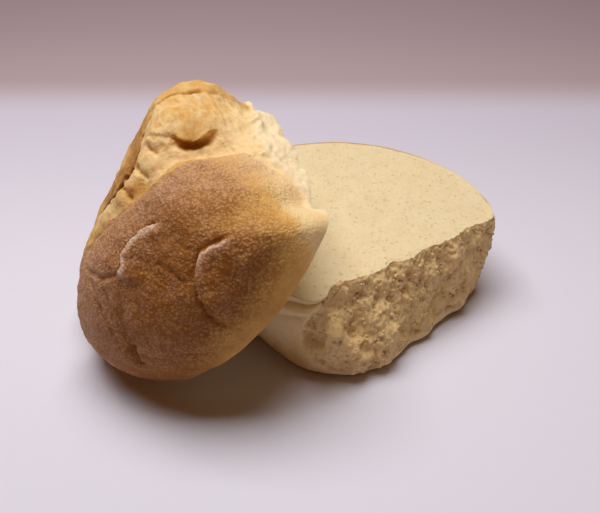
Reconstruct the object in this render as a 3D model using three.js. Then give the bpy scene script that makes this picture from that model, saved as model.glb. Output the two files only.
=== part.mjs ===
// A soft white bread roll, sliced in two. Millimetres, +Z up.
//
// The roll was proved and baked against a neighbour, pulled off it along one side, and then cut flat
// across with a knife. Its lower half lies on its base with the cut face up, and its upper half leans
// against it, crust up, resting on the floor on one small spot of its side wall.

import * as THREE from 'three';
import { mergeVertices } from 'three/addons/utils/BufferGeometryUtils.js';

// The whole roll as it was baked, measured from the middle of its base.
const ROLL_RADIUS = 55.5; // the round side wall at its widest
const ROLL_HEIGHT = 69; // base to crown
const WIDEST_HEIGHT = 36; // height of the widest section
const BELOW_BASE = 16; // how far the round form would run on below the flat base
const TRAY_EDGE = 5; // rounding where the side wall meets the flat base
const SIDE_POWER = 2.5; // fullness of the round plan
const CROWN_POWER = 2.1; // fullness of the round profile

// The torn side faces +X of the roll: fullest at the tray, drawn in towards the crown.
const TORN_AT_BASE = 43.5;
const TORN_DRAW_IN = 0.006; // per millimetre of height squared
const TORN_TWIST = 0.11; // how much one end of the tear leans more than the other
const TORN_NOTCH = 3.4; // depth of the notch near one end of the tear

// The seam where the dough was folded runs across the crown, away from the torn side.
const SEAM_DEPTH = 7;
const SEAM_WIDTH = 8;
const POCKET_DIP = 3.5; // how far the seam deepens at its pocket

// Folds and plates of the crown's skin, as lines of corners on it. Height is from the cut.
const at = (x, y, z) => new THREE.Vector3(x, y, z);
const POCKET_DEPTH = 3; // the seam's pocket, under the edge of the far lobe
const LOBE_OVERHANG = 1.2; // how far the far lobe's edge stands out over the pocket
const LOBE_EDGE = [
  at(9, 14.5, 33.2),
  at(12.8, 9.6, 32.4),
  at(17.2, 6.2, 28.9),
  at(20.4, 5.2, 24.8),
  at(24.3, 6.6, 20.8),
  at(29.5, 8.6, 15.6),
];
const FOLD_DEPTH = 1.3; // the long fold that sets off the roll's outer rim
const OUTER_FOLD = [
  at(-26, 23, 24.7),
  at(-12.7, 10.5, 31.4),
  at(-2.5, 7.8, 32.7),
  at(3.1, 11.6, 33.3),
  at(7.1, 20.1, 32.2),
  at(15.5, 25.8, 32.3),
  at(28, 28.5, 23.2),
  at(33.1, 29.5, 6),
];
const PLATE_LIFT = 1.3; // two plates of crust, each lifted along one edge
const FIRST_PLATE = [at(14, -42.3, 22.5), at(5.3, -40.5, 25.8), at(-2.3, -44.2, 23.2), at(-7.2, -50.5, 13)];
const SECOND_PLATE = [at(2, -27, 34.2), at(-5.4, -24.2, 35.2), at(-13.4, -25.3, 34.8), at(-20, -29, 32)];

// Hollows (below zero) and bulges in the torn crumb of the lower half.
const TORN_LUMPS = [
  { middle: at(31.8, -44.6, 18.5), radius: 4.2, height: -2.2 },
  { middle: at(36, -34, 23), radius: 4.6, height: -1.6 },
  { middle: at(39.5, -32, 19.5), radius: 4.6, height: -1.8 },
  { middle: at(42.4, -30, 10), radius: 6, height: 2.2 },
  { middle: at(43, -16, 12), radius: 7, height: 2.2 },
  { middle: at(42.5, -3, 7), radius: 4, height: -1.8 },
  { middle: at(40, 16, 22), radius: 7, height: 1.2 },
];

// How far the upper half's rim has slumped inwards at the far end of the tear and on the near side.
const FAR_SLUMP = 4.5;
const NEAR_SLUMP = 2;

// The knife cut and how the two halves lie.
const CUT_HEIGHT = 34;
const GAP = 0.3; // left between the two halves where they touch
const LOWER_TURN = THREE.MathUtils.degToRad(-49.5);
const UPPER_HEADING = THREE.MathUtils.degToRad(23.3);
const UPPER_LEAN = THREE.MathUtils.degToRad(-46.9);
const UPPER_SPIN = THREE.MathUtils.degToRad(-3.8);
const UPPER_START = new THREE.Vector3(-42.8, -21.1, 42); // from the lower half's middle

// Mesh: columns around the roll, rows over the crust, rows over the cut face.
const COLUMNS = 120;
const CRUST_ROWS = 32;
const CUT_ROWS = 4;

const bump = (t) => Math.exp(-t * t);

const ease = (from, to, value) => {
  const t = THREE.MathUtils.clamp((value - from) / (to - from), 0, 1);
  return t * t * (3 - 2 * t);
};

// The larger of two values, with the corner between them rounded over a width.
const roundMax = (a, b, width) => {
  const h = Math.max(width - Math.abs(a - b), 0) / width;
  return Math.max(a, b) + h * h * width * 0.25;
};

// Below zero inside the risen dough, before it is torn: two lobes on one round base.
const doughField = (x, y, z) => {
  const azimuth = Math.atan2(y, x);
  const risen = ease(28, 46, z);
  const wobble = 0.015 * Math.cos(2 * azimuth + 0.6) + 0.01 * Math.cos(3 * azimuth - 1);
  const toe = 0.03 * bump((azimuth + 0.85) / 0.35) * ease(30, 8, z);
  const backSwell = 0.045 * bump((Math.abs(azimuth) - Math.PI + 0.35) / 0.6);
  const nearTuck = 0.045 * bump((azimuth + 1.4) / 0.45);
  const farSwell = 0.05 * bump((azimuth - 1.25) / 0.4);
  const brow = 0.05 * bump((Math.abs(azimuth) - Math.PI) / 0.4) * ease(42, 58, z);
  const swell = (1 + risen * (backSwell - nearTuck + farSwell)) * (1 + brow);
  const radius = ROLL_RADIUS * (1 + wobble + toe) * swell;
  const nearLobe = 3.5 * bump((y + 14) / 18) * bump((x + 26) / 24) + 1.5 * bump((y + 26) / 20);
  const farDip = 6.5 * ease(0, 26, y) * ease(25, -25, x);
  const farLobe = 3 * ease(10, 35, y) * ease(0, 25, x);
  const crown = ROLL_HEIGHT + nearLobe - farDip + farLobe;
  const fused = 1 - 0.42 * ease(0.1, 0.7, Math.cos(azimuth));
  const above = (z - WIDEST_HEIGHT) / (crown - WIDEST_HEIGHT);
  const below = ((WIDEST_HEIGHT - z) / (WIDEST_HEIGHT + BELOW_BASE)) * fused;
  const height = z > WIDEST_HEIGHT ? above : below;
  const plan = Math.hypot(x, y) / radius;
  return 40 * ((plan ** SIDE_POWER + height ** CROWN_POWER) ** (1 / 2.3) - 1);
};

// Below zero on the roll's side of the tear, a ragged upright surface.
const tearField = (x, y, z) => {
  const twist = (TORN_TWIST * y * (z - 22)) / 22;
  const notch = TORN_NOTCH * bump((y + 30) / 8) * ease(6, 30, z) * (1 - 0.8 * ease(35, 48, z));
  const rag = 0.75 * Math.sin(0.31 * y + 0.9 + 0.05 * z) + 0.25 * Math.sin(0.55 * y - 0.12 * z + 2);
  return x - (TORN_AT_BASE - TORN_DRAW_IN * z * z + twist - notch + rag);
};

const rollField = (x, y, z) => {
  const shoulder = 4 + 4 * ease(0, 30, y) * ease(30, 40, z);
  const torn = roundMax(doughField(x, y, z), tearField(x, y, z), shoulder);
  return roundMax(torn, -z, TRAY_EDGE);
};

// The point of the roll's surface in one direction from the middle of the cut.
const surfacePoint = (azimuth, elevation) => {
  const direction = new THREE.Vector3(
    Math.cos(elevation) * Math.cos(azimuth),
    Math.cos(elevation) * Math.sin(azimuth),
    Math.sin(elevation),
  );
  let inside = 0;
  let outside = 90;
  for (let step = 0; step < 26; step += 1) {
    const reach = (inside + outside) / 2;
    const z = CUT_HEIGHT + direction.z * reach;
    if (rollField(direction.x * reach, direction.y * reach, z) < 0) {
      inside = reach;
    } else {
      outside = reach;
    }
  }
  return direction.multiplyScalar(inside).setZ(direction.z + CUT_HEIGHT);
};

// The folded seam and its pocket sink into the crown, and the soft rim slumps a little at both ends.
const settleUpper = (point) => {
  const { x, y, z } = point;
  const seamLine = -4 + 3 * Math.sin(0.05 * x + 0.6) + 9 * ease(5, -30, x);
  const seam = SEAM_DEPTH * bump((y - seamLine) / SEAM_WIDTH);
  const pocket = POCKET_DIP * bump((x - 19) / 8) * bump((y - 1) / 5);
  const nearRim = ease(54, 36, z);
  point.x -= FAR_SLUMP * ease(0, 36, y) * ease(10, 36, x) * nearRim;
  point.y += NEAR_SLUMP * ease(-20, -50, y) * nearRim;
  point.z -= (seam + pocket) * ease(44, 60, z);
};

// Which way the skin faces at a point of the roll.
const outwardAt = (x, y, z) =>
  new THREE.Vector3(
    rollField(x + 0.5, y, z) - rollField(x - 0.5, y, z),
    rollField(x, y + 0.5, z) - rollField(x, y - 0.5, z),
    rollField(x, y, z + 0.5) - rollField(x, y, z - 0.5),
  ).normalize();

// How far a point is from a line of corners (below zero on the line's right, seen from outside), and
// how far along the line it is.
const besideLine = (point, outward, corners) => {
  let away = Infinity;
  let signed = 0;
  let share = 0;
  for (let index = 1; index < corners.length; index += 1) {
    const start = corners[index - 1];
    const leg = corners[index].clone().sub(start);
    const along = THREE.MathUtils.clamp(point.clone().sub(start).dot(leg) / leg.lengthSq(), 0, 1);
    const off = point.clone().sub(start).addScaledVector(leg, -along);
    if (off.length() < away) {
      away = off.length();
      signed = away * Math.sign(leg.clone().cross(off).dot(outward));
      share = (index - 1 + along) / (corners.length - 1);
    }
  }
  return { away, signed, share };
};

// Height of the folds and plates over the smooth crown.
const crownRelief = (point, outward) => {
  const lobe = besideLine(point, outward, LOBE_EDGE);
  const underLobe = ease(0.2, 0.45, lobe.share) * ease(1, 0.66, lobe.share);
  const hollow = ease(1.8, -2.4, lobe.signed) * bump(Math.max(-lobe.signed - 2.4, 0) / 2.2);
  const overhang = ease(-1.4, 2.2, lobe.signed) * bump(Math.max(lobe.signed - 1, 0) / 5.5);
  const fold = besideLine(point, outward, OUTER_FOLD);
  const foldEnds = ease(0, 0.15, fold.share) * ease(1, 0.85, fold.share);
  let height = (LOBE_OVERHANG * overhang - POCKET_DEPTH * hollow) * underLobe;
  height -= FOLD_DEPTH * bump(fold.away / 2) * foldEnds;
  for (const line of [FIRST_PLATE, SECOND_PLATE]) {
    const edge = besideLine(point, outward, line);
    const ends = ease(0, 0.12, edge.share) * ease(1, 0.8, edge.share);
    const lifted = ease(-1.6, 1.6, edge.signed) * bump(Math.max(edge.signed, 0) / 8);
    const drawnIn = ease(1.6, -1.6, edge.signed) * bump(Math.max(-edge.signed - 1.6, 0) / 1.6);
    height += PLATE_LIFT * (lifted - 0.5 * drawnIn) * ends;
  }
  return height;
};

const tornRelief = (point) =>
  TORN_LUMPS.reduce((height, lump) => {
    return height + lump.height * bump(point.distanceTo(lump.middle) / lump.radius);
  }, 0);

// One half, from a sphere: the rows from one pole to the rim lie evenly spaced over the crust, and the
// rows from the rim to the other pole lie in the flat cut.
const makeHalf = (isUpper) => {
  const rows = CRUST_ROWS + CUT_ROWS;
  const sphere = new THREE.SphereGeometry(1, COLUMNS, rows);
  const position = sphere.attributes.position;
  const sign = isUpper ? 1 : -1;
  for (let column = 0; column <= COLUMNS; column += 1) {
    const azimuth = (2 * Math.PI * (column % COLUMNS)) / COLUMNS;
    const profile = [];
    for (let step = 0; step <= 40; step += 1) {
      profile.push(surfacePoint(azimuth, (sign * step * Math.PI) / 80));
    }
    const crust = new THREE.CatmullRomCurve3(profile).getSpacedPoints(CRUST_ROWS);
    const rim = crust[0].clone().setZ(CUT_HEIGHT);
    const middle = new THREE.Vector3(0, 0, CUT_HEIGHT);
    for (let row = 0; row <= rows; row += 1) {
      const fromCrustPole = isUpper ? row : rows - row;
      const point = new THREE.Vector3();
      if (fromCrustPole < CRUST_ROWS) {
        point.copy(crust[CRUST_ROWS - fromCrustPole]);
      } else {
        point.lerpVectors(rim, middle, (fromCrustPole - CRUST_ROWS) / CUT_ROWS);
      }
      if (fromCrustPole === 0) {
        point.set(0, 0, point.z);
      }
      const fromRim = Math.abs(point.z - CUT_HEIGHT);
      const outward = outwardAt(point.x, point.y, point.z);
      if (isUpper) {
        settleUpper(point);
        point.z -= CUT_HEIGHT;
        point.addScaledVector(outward, crownRelief(point, outward) * ease(0, 4, fromRim));
      } else {
        point.addScaledVector(outward, tornRelief(point) * ease(0, 9, fromRim) * ease(0, 4, point.z));
      }
      if (!isUpper && point.z < 0.02) {
        point.z = 0;
      }
      position.setXYZ(row * (COLUMNS + 1) + column, point.x, point.y, point.z);
    }
  }
  sphere.deleteAttribute('normal');
  sphere.deleteAttribute('uv');
  const solid = mergeVertices(sphere, 1e-4);
  solid.computeVertexNormals();
  return solid;
};

const crumb = new THREE.MeshStandardMaterial({ color: 0xe8d3a4, roughness: 0.92, metalness: 0 });
const crust = new THREE.MeshStandardMaterial({ color: 0xb07a45, roughness: 0.78, metalness: 0 });

const lowerHalf = new THREE.Mesh(makeHalf(false), crumb);
lowerHalf.name = 'lower_half';
lowerHalf.rotation.z = LOWER_TURN;

const upperHalf = new THREE.Mesh(makeHalf(true), crust);
upperHalf.name = 'upper_half';
upperHalf.quaternion
  .setFromAxisAngle(new THREE.Vector3(0, 0, 1), UPPER_HEADING)
  .multiply(new THREE.Quaternion().setFromAxisAngle(new THREE.Vector3(0, 1, 0), UPPER_LEAN))
  .multiply(new THREE.Quaternion().setFromAxisAngle(new THREE.Vector3(0, 0, 1), UPPER_SPIN));
upperHalf.position.copy(UPPER_START);

const roll = new THREE.Group();
roll.add(lowerHalf, upperHalf);

// Let the upper half down until its side wall is on the floor.
roll.updateMatrixWorld(true);
const cornerOf = (mesh, index) => {
  const corners = mesh.geometry.attributes.position;
  return new THREE.Vector3().fromBufferAttribute(corners, index).applyMatrix4(mesh.matrixWorld);
};
let lowest = Infinity;
for (let index = 0; index < upperHalf.geometry.attributes.position.count; index += 1) {
  lowest = Math.min(lowest, cornerOf(upperHalf, index).z);
}
upperHalf.position.z -= lowest;

// Slide it in until its cut face leans on the rim of the lower half.
const cutNormal = new THREE.Vector3(0, 0, 1).applyQuaternion(upperHalf.quaternion);
let clearance = Infinity;
for (let index = 0; index < lowerHalf.geometry.attributes.position.count; index += 1) {
  const away = upperHalf.position.clone().sub(cornerOf(lowerHalf, index));
  clearance = Math.min(clearance, away.dot(cutNormal));
}
const inward = new THREE.Vector3(Math.cos(UPPER_HEADING), Math.sin(UPPER_HEADING), 0);
upperHalf.position.addScaledVector(inward, (GAP - clearance) / inward.dot(cutNormal));

// Stand the whole on the floor with the origin under the middle of its box.
roll.updateMatrixWorld(true);
const box = new THREE.Box3().setFromObject(roll, true);
const middle = box.getCenter(new THREE.Vector3());
roll.position.set(-middle.x, -middle.y, -box.min.z);
roll.updateMatrixWorld(true);

export default roll;
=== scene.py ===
import bpy
import numpy as np
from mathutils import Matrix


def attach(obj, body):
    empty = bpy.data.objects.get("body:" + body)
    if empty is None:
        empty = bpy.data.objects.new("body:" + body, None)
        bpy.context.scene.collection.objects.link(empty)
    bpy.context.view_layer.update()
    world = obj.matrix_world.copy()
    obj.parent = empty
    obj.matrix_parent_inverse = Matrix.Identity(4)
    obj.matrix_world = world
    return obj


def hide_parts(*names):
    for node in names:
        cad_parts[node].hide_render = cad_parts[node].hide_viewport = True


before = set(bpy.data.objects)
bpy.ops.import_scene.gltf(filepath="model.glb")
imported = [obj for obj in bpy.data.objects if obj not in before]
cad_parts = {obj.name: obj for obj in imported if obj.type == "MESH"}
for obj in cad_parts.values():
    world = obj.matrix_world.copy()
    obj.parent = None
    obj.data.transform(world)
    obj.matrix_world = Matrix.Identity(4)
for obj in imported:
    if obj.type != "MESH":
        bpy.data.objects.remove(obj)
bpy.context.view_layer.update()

# ---------------------------------------------------------------------------------------------------
# The lower half: base crust below, knife cut above, and the torn face to one side, where the crumb
# pulled apart in tufts and pits. It lies flat on the base that it was baked on.

# Both halves are cut from one form of soft white dough, folded once over its crown and proved against
# a neighbour. Its lengths are in millimetres from the middle of the roll's base.
roll_radius = 55.5
roll_height = 69.0
widest_height = 36.0
below_base = 16.0
base_rounding = 5.0
cut_height = 34.0
tear_distance = 43.5
notch_place, notch_depth, notch_width = -30, 3.4, 8


def bump(t):
    return np.exp(-t * t)


def ease(start, end, value):
    t = np.clip((value - start) / (end - start), 0, 1)
    return t * t * (3 - 2 * t)


def round_max(a, b, width):
    h = np.clip(width - np.abs(a - b), 0, None) / width
    return np.maximum(a, b) + h * h * width * 0.25


def dough_field(x, y, z):
    """Below zero inside the risen dough, before it is torn."""
    azimuth = np.arctan2(y, x)
    risen = ease(28, 46, z)
    wobble = 0.015 * np.cos(2 * azimuth + 0.6) + 0.01 * np.cos(3 * azimuth - 1)
    toe = 0.03 * bump((azimuth + 0.85) / 0.35) * ease(30, 8, z)
    back_swell = 0.045 * bump((np.abs(azimuth) - np.pi + 0.35) / 0.6)
    near_tuck = 0.045 * bump((azimuth + 1.4) / 0.45)
    far_swell = 0.05 * bump((azimuth - 1.25) / 0.4)
    brow = 0.05 * bump((np.abs(azimuth) - np.pi) / 0.4) * ease(42, 58, z)
    swell = (1 + risen * (back_swell - near_tuck + far_swell)) * (1 + brow)
    radius = roll_radius * (1 + wobble + toe) * swell
    near_lobe = 3.5 * bump((y + 14) / 18) * bump((x + 26) / 24) + 1.5 * bump((y + 26) / 20)
    far_dip = 6.5 * ease(0, 26, y) * ease(25, -25, x)
    far_lobe = 3 * ease(10, 35, y) * ease(0, 25, x)
    crown = roll_height + near_lobe - far_dip + far_lobe
    fused = 1 - 0.42 * ease(0.1, 0.7, np.cos(azimuth))
    above = np.clip((z - widest_height) / (crown - widest_height), 0, None)
    below = np.clip((widest_height - z) / (widest_height + below_base), 0, None) * fused
    plan = np.hypot(x, y) / radius
    return 40 * ((plan**2.5 + (above + below) ** 2.1) ** (1 / 2.3) - 1)


def tear_field(x, y, z):
    """Below zero on the roll's side of the torn face, which looks along +X."""
    twist = 0.11 * y * (z - 22) / 22
    notch = notch_depth * bump((y - notch_place) / notch_width)
    notch = notch * ease(6, 30, z) * (1 - 0.8 * ease(35, 48, z))
    rag = 0.75 * np.sin(0.31 * y + 0.9 + 0.05 * z) + 0.25 * np.sin(0.55 * y - 0.12 * z + 2)
    return x - (tear_distance - 0.006 * z * z + twist - notch + rag)


def roll_field(x, y, z):
    shoulder = 4 + 4 * ease(0, 30, y) * ease(30, 40, z)
    torn = round_max(dough_field(x, y, z), tear_field(x, y, z), shoulder)
    return round_max(torn, -z, base_rounding)


def crust_grid(columns, rows, side, crowding=0.0):
    """Rows of points from the knife cut to the crown (side 1) or to the base (side -1)."""
    rays = 120
    halvings = 32
    farthest = 90.0
    azimuth = columns[None, :]
    elevation = (np.linspace(0, 1, rays) * np.pi / 2 * side)[:, None]
    direction = np.stack(
        [
            np.cos(elevation) * np.cos(azimuth),
            np.cos(elevation) * np.sin(azimuth),
            np.sin(elevation) + 0 * azimuth,
        ],
        -1,
    )
    inside = np.zeros(direction.shape[:2])
    outside = np.full(direction.shape[:2], farthest)
    for _ in range(halvings):
        reach = (inside + outside) / 2
        point = direction * reach[..., None] + np.array([0, 0, cut_height])
        within = roll_field(point[..., 0], point[..., 1], point[..., 2]) < 0
        inside = np.where(within, reach, inside)
        outside = np.where(within, outside, reach)
    point = direction * inside[..., None] + np.array([0, 0, cut_height])
    along = np.linalg.norm(np.diff(point, axis=0), axis=-1).cumsum(0)
    along = np.vstack([np.zeros((1, len(columns))), along]) / along[-1]
    grid = np.empty((rows, len(columns), 3))
    share = np.linspace(0, 1, rows)
    share = (1 - crowding) * share + crowding * share**3
    for j in range(len(columns)):
        for k in range(3):
            grid[:, j, k] = np.interp(share, along[:, j], point[:, j, k])
    grid[0, :, 2] = cut_height
    grid[-1, :, :2] = 0
    grid[-1, :, 2] = grid[-1, :, 2].mean()
    return grid


def column_angles(torn_reach, torn_count, skin_count):
    """Angles of the columns round a half, closer together on the torn side, which faces +X."""
    torn = np.linspace(-torn_reach, torn_reach, torn_count, endpoint=False)
    skin = np.linspace(torn_reach, 360 - torn_reach, skin_count, endpoint=False)
    return np.radians(np.concatenate([torn, skin]))


def grid_normals(grid, side):
    around = np.roll(grid, -1, 1) - np.roll(grid, 1, 1)
    up = np.gradient(grid, axis=0)
    normal = np.cross(around, up) * side
    normal /= np.linalg.norm(normal, axis=-1, keepdims=True) + 1e-12
    normal[-1] = [0, 0, side]
    return normal


def hashed(cell, seed):
    """Three repeatable random numbers from 0 to 1 for each whole-number cell."""
    c = cell.astype(np.int64)
    n = c[..., 0] * 73856093 ^ c[..., 1] * 19349663 ^ c[..., 2] * 83492791 ^ (seed * 2654435761 + 97)
    out = []
    for k in (1, 2, 3):
        m = (n + k * 668265263) & 0xFFFFFFFF
        m = ((m ^ (m >> 16)) * 0x45D9F3B) & 0xFFFFFFFF
        m = ((m ^ (m >> 16)) * 0x45D9F3B) & 0xFFFFFFFF
        out.append(((m ^ (m >> 16)) & 0xFFFF) / 65535.0)
    return np.stack(out, -1)


def lumps(point, size, seed):
    """Smooth random height, about -1 to 1, in lumps of one size."""
    q = np.asarray(point) / size + seed * 3.17
    cell = np.floor(q)
    f = q - cell
    w = f * f * f * (f * (f * 6 - 15) + 10)
    total = 0
    for i in (0, 1):
        for j in (0, 1):
            for k in (0, 1):
                corner = np.array([i, j, k])
                slope = hashed(cell + corner, seed) * 2 - 1
                share = np.prod(np.where(corner == 1, w, 1 - w), axis=-1)
                total = total + share * ((f - corner) * slope).sum(-1)
    return total * 1.7


def bubbles(point, size, seed):
    """Distance to the nearest bubble's middle, in bubble sizes, and one random number for it."""
    q = np.asarray(point) / size
    cell = np.floor(q)
    best = np.full(q.shape[:-1], 9.0)
    pick = np.zeros(q.shape[:-1])
    for i in (-1, 0, 1):
        for j in (-1, 0, 1):
            for k in (-1, 0, 1):
                near = cell + np.array([i, j, k])
                r = hashed(near, seed)
                gap = np.linalg.norm(near + 0.15 + 0.7 * r - q, axis=-1)
                closer = gap < best
                best = np.where(closer, gap, best)
                pick = np.where(closer, (r[..., 0] * 7.3 + r[..., 1] * 3.1) % 1, pick)
    return best, pick


lower_columns = column_angles(torn_reach=62, torn_count=300, skin_count=160)
lower_crust = crust_grid(lower_columns, rows=136, side=-1, crowding=0.45)
lower_normal = grid_normals(lower_crust, -1)
x, y, z = np.moveaxis(lower_crust, -1, 0)
azimuth = np.degrees(np.arctan2(y, x))
skin_heights = [3, 4, 6, 10.6, 15, 21.5, 28.4, 32, 34]
skin_angles = [-38, -41.5, -48, -53, -56, -56, -54, -50.5, -49]
skin_edge = np.interp(z, skin_heights, skin_angles)
skin_edge = skin_edge + 1.4 * lumps(lower_crust, 4, 3) + 0.8 * lumps(lower_crust, 1.8, 5)
past_tear = tear_field(x, y, z) - dough_field(x, y, z) + 0.9 * lumps(lower_crust, 5, 3)
past_tear = past_tear + 14 * ease(-22, -34, y) + 4 * ease(14, 26, y)
past_far_end = azimuth - 55 - 2 * lumps(lower_crust, 5, 6)
lower_torn = ease(-2.4, 0.2, past_tear) * ease(-0.8, 0.9, azimuth - skin_edge) * ease(3, -1, past_far_end)
lower_lip = np.interp(y, [-45, -30, -10, 12, 35], [3.0, 2.0, 3.5, 6.0, 4.5])
lower_lip = lower_lip + 1.2 * lumps(lower_crust, 5, 4)
lower_torn = lower_torn * ease(lower_lip - 0.8, lower_lip + 0.8, z) * (x > 5)

# Curtains, tufts and pits of the torn crumb: rougher towards the near end.
rough_end = 0.45 + 0.55 * ease(8, -12, y)
curtain = np.stack([x * 0.4, y, z * 0.3], -1)
relief = 1.1 * lumps(curtain, 6, 11) + 0.9 * lumps(lower_crust, 6, 12) + 0.6 * lumps(curtain, 3, 18)
warp = 0.8 * np.stack([lumps(lower_crust, 2.5, seed) for seed in (24, 25, 26)], -1)
stretched = lower_crust * [1, 1, 0.7] + warp
for bubble_size, seed, depth, edge, least, rough in (
    (4.6, 13, 1.7, 0.60, 0.6, rough_end),
    (2.7, 17, 0.8, 0.58, 0.6, rough_end),
    (1.5, 14, 0.4, 0.60, 0.5, 0.3 + 0.7 * rough_end),
):
    gap, pick = bubbles(stretched, bubble_size, seed)
    relief = relief - depth * ease(edge, 0.12, gap) * (pick > least) * rough
threads = np.stack([x, y, z * 0.4], -1)
relief = relief + (0.4 + 0.3 * ease(-8, 10, y)) * lumps(threads, 1.9, 15) + 0.26 * lumps(threads, 1.0, 16)
ribs = np.stack([x * 0.3, y + 0.15 * z, z * 0.12], -1)
relief = relief + 0.8 * ease(-14, 6, y) * lumps(ribs, 3.4, 20)

# The largest pits of the torn face, with a height below 0, and its largest tufts.
for middle, height, reach in (
    ((31.8, -44.6, 18.5), -3.6, 3.2),
    ((32, -45, 25), -2.2, 2.4),
    ((39.5, -32, 19.5), -2.6, 3.6),
    ((34.8, -35.5, 28.5), -3.4, 4.2),
    ((38, -40, 22), 1.8, 2.4),
    ((42.4, -30, 10), 2.2, 6),
    ((43, -16, 12), 2.2, 7),
    ((42.5, -3, 7), -1.8, 4),
    ((40, 16, 22), 1.2, 7),
    ((41, 8, 14), -1.0, 5),
    ((39, 26, 20), -0.9, 4),
):
    away = np.linalg.norm(lower_crust - np.array(middle), axis=-1)
    relief = relief + height * bump(away / reach)
relief = relief * (0.6 + 0.4 * ease(34, 30, z)) + 0.45 * lumps(lower_crust, 1.3, 19)

# The skin beside the torn face is smooth, with one fold where it wraps the near corner.
smooth = 0.6 * lumps(lower_crust, 16, 21) + 0.12 * lumps(lower_crust, 3.5, 22)
near_corner = bump((azimuth + 60) / 13)
crease = np.abs(z - 31.2 - 0.16 * (azimuth + 60) - 0.5 * lumps(lower_crust, 7, 23))
smooth = smooth - 1.6 * near_corner * bump(crease / 0.6)
crease = np.abs(z - 26.5 - 0.3 * (azimuth + 60))
smooth = smooth - 0.8 * near_corner * bump(crease / 1.4) + 1.0 * near_corner * bump((z - 28.8) / 1.6)
smooth = smooth + 0.8 * bump((azimuth + 52) / 5) * ease(4, 10, z)
above_base = ease(0.0, 3.5, z)
offset = (lower_torn * relief * 0.95 + (1 - lower_torn) * smooth) * above_base
push = lower_normal * offset[..., None]
push[0, :, 2] = 0
lower_crust = lower_crust + push
lower_crust[..., 2] = np.clip(lower_crust[..., 2], 0, cut_height)

# The knife cut: nearly flat, with small dents, and sagging at the near corner.
lower_cut_rows = 72
cut_share = (np.linspace(0, 1, lower_cut_rows) ** 1.5)[:, None, None]
rim_radius = np.hypot(lower_crust[0, :, 0], lower_crust[0, :, 1])
rim_calm_angle = 0.07
apart = np.abs((lower_columns[:, None] - lower_columns[None, :] + np.pi) % (2 * np.pi) - np.pi)
column_gap = (np.roll(lower_columns, -1) - lower_columns) % (2 * np.pi)
nearness = bump(apart / rim_calm_angle) * column_gap
calm_radius = nearness @ rim_radius / nearness.sum(1)
calm_rim = np.stack(
    [
        calm_radius * np.cos(lower_columns),
        calm_radius * np.sin(lower_columns),
        np.full(len(calm_radius), cut_height),
    ],
    -1,
)
calmed = ease(0, 0.3, cut_share)
lower_cut = lower_crust[:1] * (1 - calmed) + calm_rim * calmed
lower_cut = lower_cut * (1 - cut_share) + np.array([0, 0, cut_height]) * cut_share
lower_cut[-1] = [0, 0, cut_height]
inward = ease(0, 0.05, cut_share[..., 0])
gap, pick = bubbles(lower_cut, 3.1, 31)
dent = 0.45 * ease(0.36, 0.1, gap) * (pick > 0.6)
from_corner = np.linalg.norm(lower_cut[..., :2] - np.array([30, -46]), axis=-1)
from_tear = np.linalg.norm(lower_cut[..., :2] - np.array([36, -12]), axis=-1)
wavy = 0.12 * lumps(lower_cut, 3.1, 32) + 0.3 * lumps(lower_cut, 14, 33)
lower_cut[..., 2] += inward * (wavy - 0.12 - dent - 2.2 * bump(from_corner / 9))
lower_cut[..., 2] += inward * 0.5 * bump(from_tear / 16)
lower_cut[-1, :, 2] = lower_cut[-1, 0, 2]


def half_mesh(name, crust, cut, side, turn, shift):
    """Joins the crust rows and the cut rows into one closed skin, and puts it in its place."""
    rows, columns = crust.shape[:2]
    cut_rows = cut.shape[0]
    points = np.vstack([crust[:-1].reshape(-1, 3), crust[-1, :1], cut[1:-1].reshape(-1, 3), cut[-1, :1]])
    pole = (rows - 1) * columns
    first_cut = pole + 1
    last = len(points) - 1
    j = np.arange(columns)
    k = (j + 1) % columns
    faces = []
    zones = []

    def add(quads, zone):
        faces.extend(quads.tolist())
        zones.extend([zone] * len(quads))

    for i in range(rows - 2):
        a, b = i * columns, (i + 1) * columns
        ring = np.stack([a + j, a + k, b + k, b + j], 1)
        add(ring if side > 0 else ring[:, ::-1], 0)
    a = (rows - 2) * columns
    fan = np.stack([a + j, a + k, np.full(columns, pole)], 1)
    add(fan if side > 0 else fan[:, ::-1], 0)
    for i in range(cut_rows - 2):
        a = 0 if i == 0 else first_cut + (i - 1) * columns
        b = first_cut + i * columns
        ring = np.stack([a + j, b + j, b + k, a + k], 1)
        add(ring if side > 0 else ring[:, ::-1], 1)
    a = first_cut + (cut_rows - 3) * columns
    fan = np.stack([a + j, np.full(columns, last), a + k], 1)
    add(fan if side > 0 else fan[:, ::-1], 1)
    placed = (points @ turn.T + shift) / 1000
    mesh = bpy.data.meshes.new(name)
    mesh.from_pydata(placed.tolist(), [], faces)
    mesh.polygons.foreach_set("use_smooth", np.ones(len(faces), bool))
    mesh.polygons.foreach_set("material_index", np.array(zones, np.int32))
    mesh.update()
    ends = np.empty(len(mesh.edges) * 2, np.int32)
    mesh.edges.foreach_get("vertices", ends)
    on_rim = (ends.reshape(-1, 2) < columns).all(1)
    mesh.attributes.new("sharp_edge", "BOOLEAN", "EDGE").data.foreach_set("value", on_rim)
    piece = bpy.data.objects.new(name, mesh)
    bpy.context.scene.collection.objects.link(piece)
    return piece


def paint(piece, name, crust_values, cut_values):
    """Writes one number per point, for the material to read."""
    flat = np.concatenate(
        [crust_values[:-1].ravel(), crust_values[-1, :1], cut_values[1:-1].ravel(), cut_values[-1, :1]]
    )
    layer = piece.data.attributes.new(name, "FLOAT", "POINT")
    layer.data.foreach_set("value", flat.astype(np.float32))


def turn_z(degrees):
    c, s = np.cos(np.radians(degrees)), np.sin(np.radians(degrees))
    return np.array([[c, -s, 0], [s, c, 0], [0, 0, 1.0]])


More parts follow.
